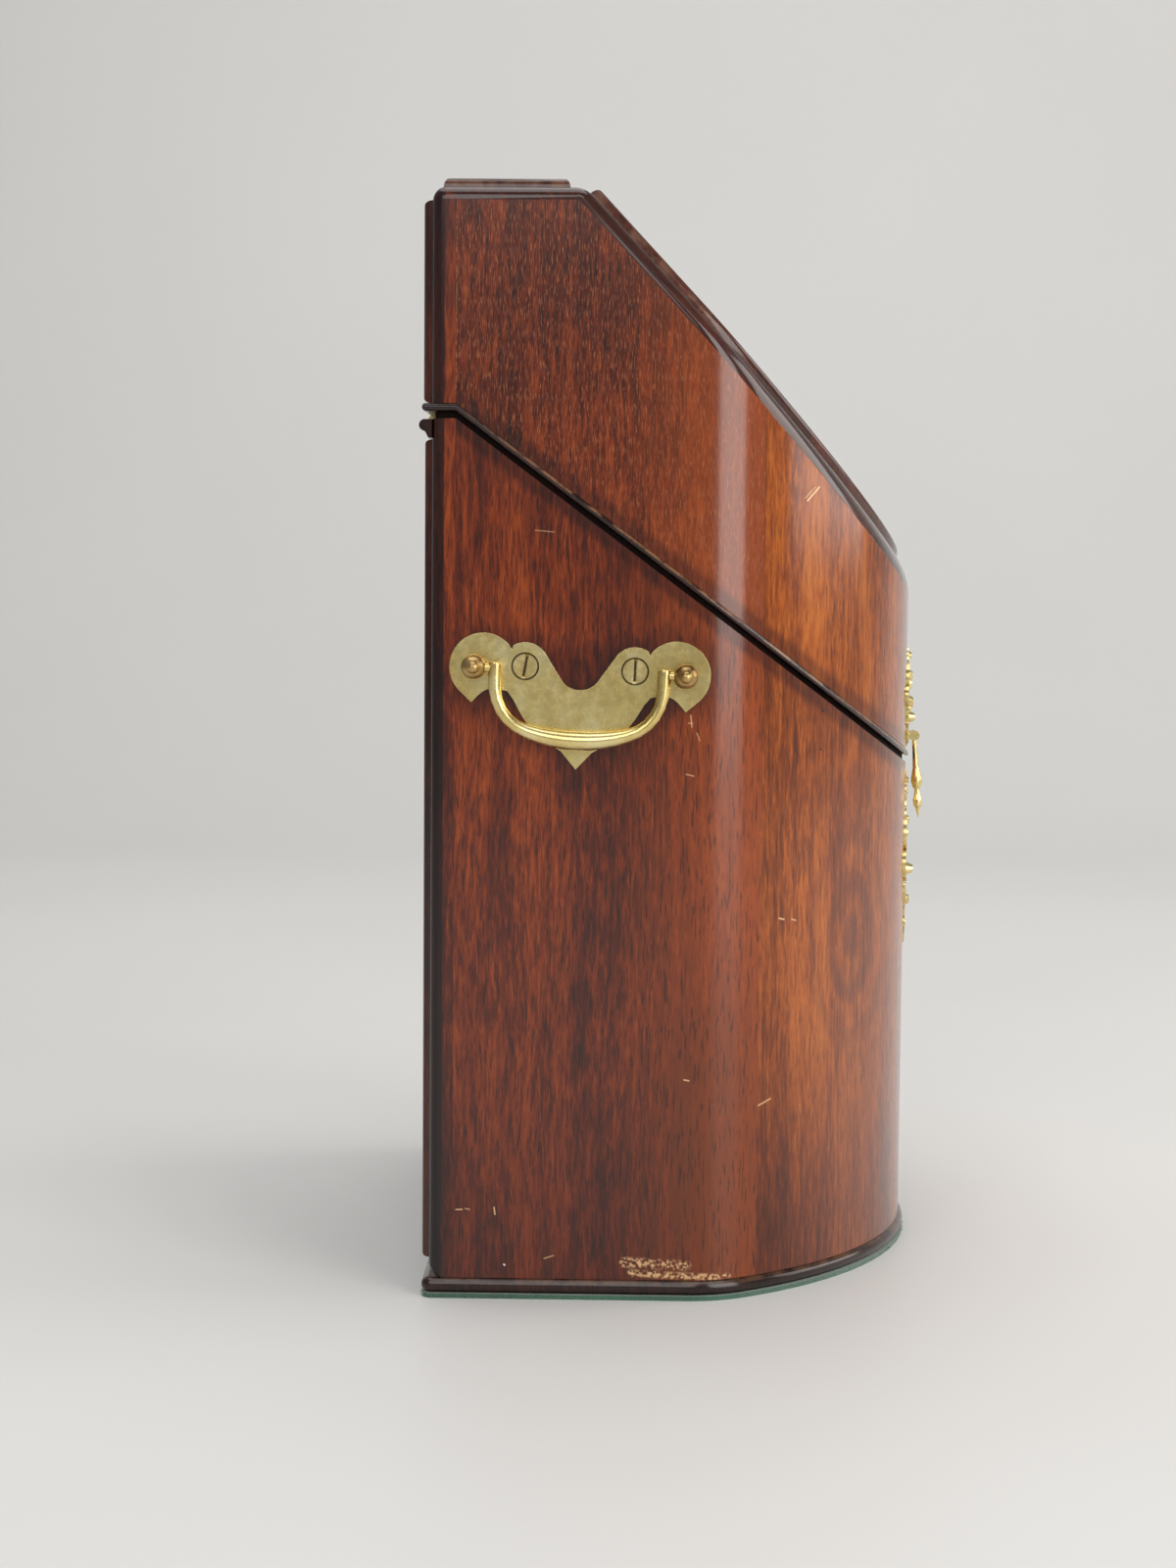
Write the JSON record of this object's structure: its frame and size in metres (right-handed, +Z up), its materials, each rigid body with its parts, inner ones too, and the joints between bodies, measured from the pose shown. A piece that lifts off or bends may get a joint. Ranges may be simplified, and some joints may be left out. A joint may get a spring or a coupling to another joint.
{
  "type": "knife box",
  "caption": "Antique bow-fronted mahogany knife box with a sloping hinged lid, brass bail handles on both sides, a drop pull and a slotted interior.",
  "frame": {"origin": "on the floor under the baize, half way across the width and half way between the back boards' faces and the middle of the bow front", "axes": "+Z up; -Y towards the bow front, so +Y is the back with the hinges; +X to the viewer's right when the front is seen; the side with the left_ nodes is at -X"},
  "size_m": [0.2566, 0.1743, 0.361],
  "materials": {
    "baize": "green baize",
    "moulding": "dark French-polished mahogany moulding, worn along its edges",
    "carcase": "plain unpolished softwood and oak",
    "mahogany": "French-polished red-brown mahogany with a vertical grain",
    "panel": "French-polished dark mahogany panel",
    "ebonised": "black stained strip",
    "brass": "aged polished brass",
    "lock_brass": "dull unpolished brass",
    "steel": "plain iron bolt"
  },
  "bodies": {
    "case": {"baize_pad": "baize", "base_moulding": "moulding", "bottom_board": "carcase", "left_side": "mahogany", "right_side": "mahogany", "bow_front": "mahogany", "back_board": "mahogany", "back_panel": "panel", "stop_rail": "moulding", "rim_strip": "ebonised", "insert_board": "mahogany", "insert_bearers": "carcase", "floor_lining": "baize", "partition_back": "carcase", "partition_middle": "carcase", "partition_front": "carcase", "lock_case": "lock_brass", "lock_cover": "lock_brass", "lock_screws": "lock_brass", "keyhole_plate": "brass", "keyhole_plate_pins": "brass", "hinge_case_leaves": "brass", "hinge_pins": "brass", "hinge_case_screws": "brass", "left_handle_plate": "brass", "left_handle_posts": "brass", "left_handle_nuts": "lock_brass", "left_handle_screws": "brass", "right_handle_plate": "brass", "right_handle_posts": "brass", "right_handle_nuts": "lock_brass", "right_handle_screws": "brass"},
    "lid": {"lid_left_side": "mahogany", "lid_right_side": "mahogany", "lid_front": "mahogany", "lid_back": "mahogany", "lid_top_board": "mahogany", "lid_slope_board": "mahogany", "lid_back_panel": "panel", "lid_top_panel": "panel", "lid_slope_panel": "panel", "lid_bead": "moulding", "hinge_lid_leaves": "brass", "hinge_lid_screws": "brass", "lock_staple": "lock_brass", "staple_screws": "lock_brass", "pull_plate": "brass", "pull_plate_pins": "brass", "pull_post": "brass"},
    "left_bail": {"left_bail": "brass"},
    "right_bail": {"right_bail": "brass"},
    "drop_pull": {"drop_pull": "brass"},
    "lock_bolt": {"lock_bolt": "steel"}
  },
  "joints": [
    {"name": "lid_hinge", "type": "hinge", "parent": "case", "child": "lid", "pos_m": [0, 0.08332, 0.2858], "axis": [-1, 0, 0], "range_deg": [0, 95]},
    {"name": "left_bail_swing", "type": "hinge", "parent": "case", "child": "left_bail", "pos_m": [-0.1226, 0.03362, 0.2046], "axis": [0, 0.9993, 0.0384], "range_deg": [-4, 180]},
    {"name": "right_bail_swing", "type": "hinge", "parent": "case", "child": "right_bail", "pos_m": [0.1226, 0.03362, 0.2046], "axis": [0, -0.9993, -0.0384], "range_deg": [-4, 180]},
    {"name": "drop_pull_swing", "type": "hinge", "parent": "lid", "child": "drop_pull", "pos_m": [0, -0.08522, 0.17835], "axis": [-1, 0, 0], "range_deg": [0, 120]},
    {"name": "lock_bolt_slide", "type": "slide", "parent": "case", "child": "lock_bolt", "axis": [1, 0, 0], "range_m": [0, 0.007]}
  ]
}
